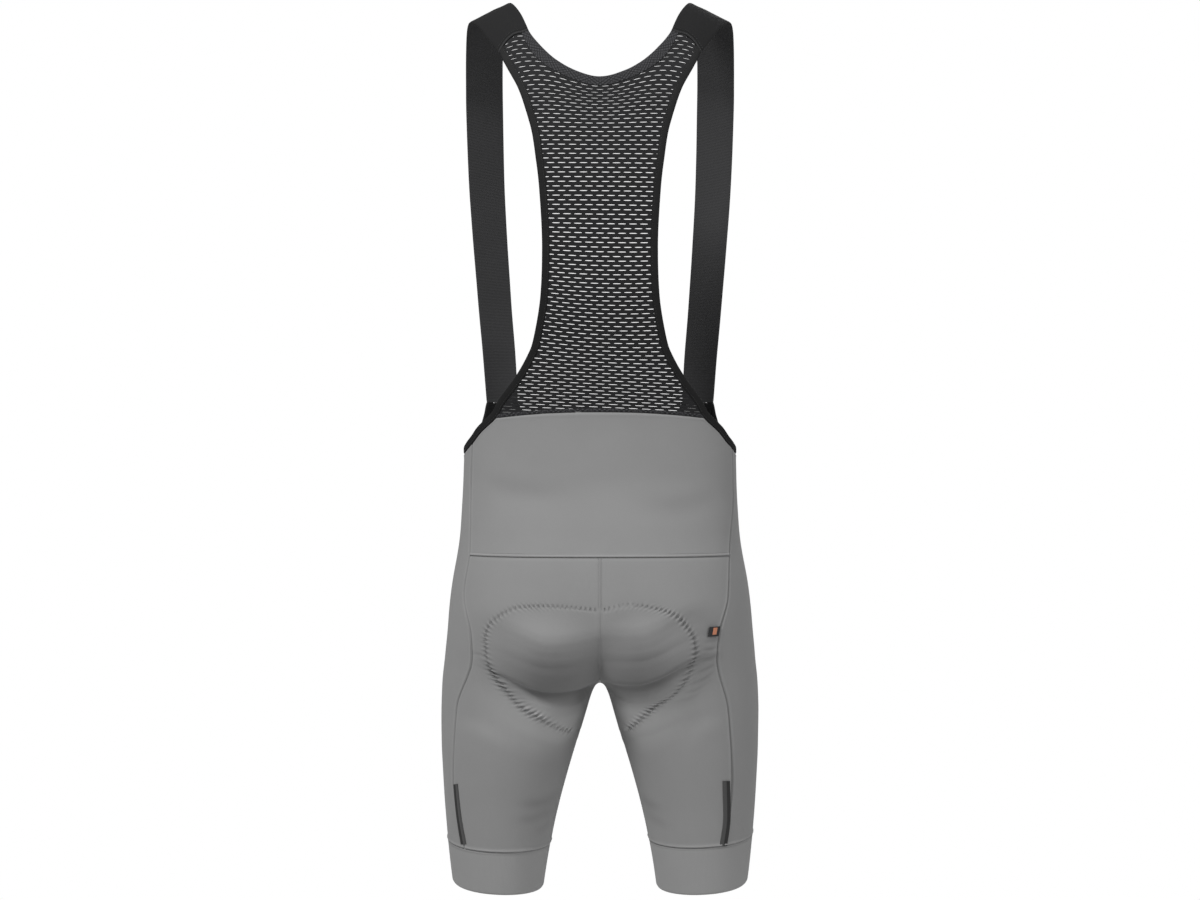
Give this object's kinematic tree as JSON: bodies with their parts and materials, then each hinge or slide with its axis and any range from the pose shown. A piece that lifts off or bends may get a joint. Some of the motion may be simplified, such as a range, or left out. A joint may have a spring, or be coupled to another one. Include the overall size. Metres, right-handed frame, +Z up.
{
  "type": "cycling bib shorts",
  "caption": "Close-fitting cycling bib shorts in their worn, hollow shape, with a racerback mesh top, wide elastic straps, padded seat and elastic leg bands.",
  "frame": {"origin": "midway between the crests of the two shoulder straps, where the wearer's shoulders hold the garment up", "axes": "+Z up along the body, +X towards the wearer's left, -Y towards the wearer's front"},
  "size_m": [0.3415, 0.2368, 0.9533],
  "materials": {
    "grey_knit": "smooth stretch knit with a soft sheen",
    "grey_gripper": "wide woven elastic with a fine rib",
    "black_mesh": "open sports mesh with even rows of lens-shaped eyelets",
    "black_elastic": "wide plain elastic, matt",
    "black_binding": "folded stretch binding, matt",
    "dark_tape": "bonded satin tape",
    "label_black": "woven label",
    "pad_foam": "brushed knit over foam"
  },
  "bodies": {
    "root": {"back_mesh": "black_mesh", "neck_hem": "black_mesh", "back_yoke": "grey_knit", "front_neck_binding": "black_binding", "label_tab": "label_black", "seat_pad": "pad_foam", "armhole_binding_left": "black_binding", "armhole_binding_right": "black_binding", "strap_left": "black_elastic", "strap_right": "black_elastic", "seat_left": "grey_knit", "seat_right": "grey_knit", "side_left": "grey_knit", "side_right": "grey_knit", "front_left": "grey_knit", "front_right": "grey_knit", "gripper_left": "grey_gripper", "gripper_right": "grey_gripper", "leg_tape_left": "dark_tape", "leg_tape_right": "dark_tape"}
  },
  "joints": []
}
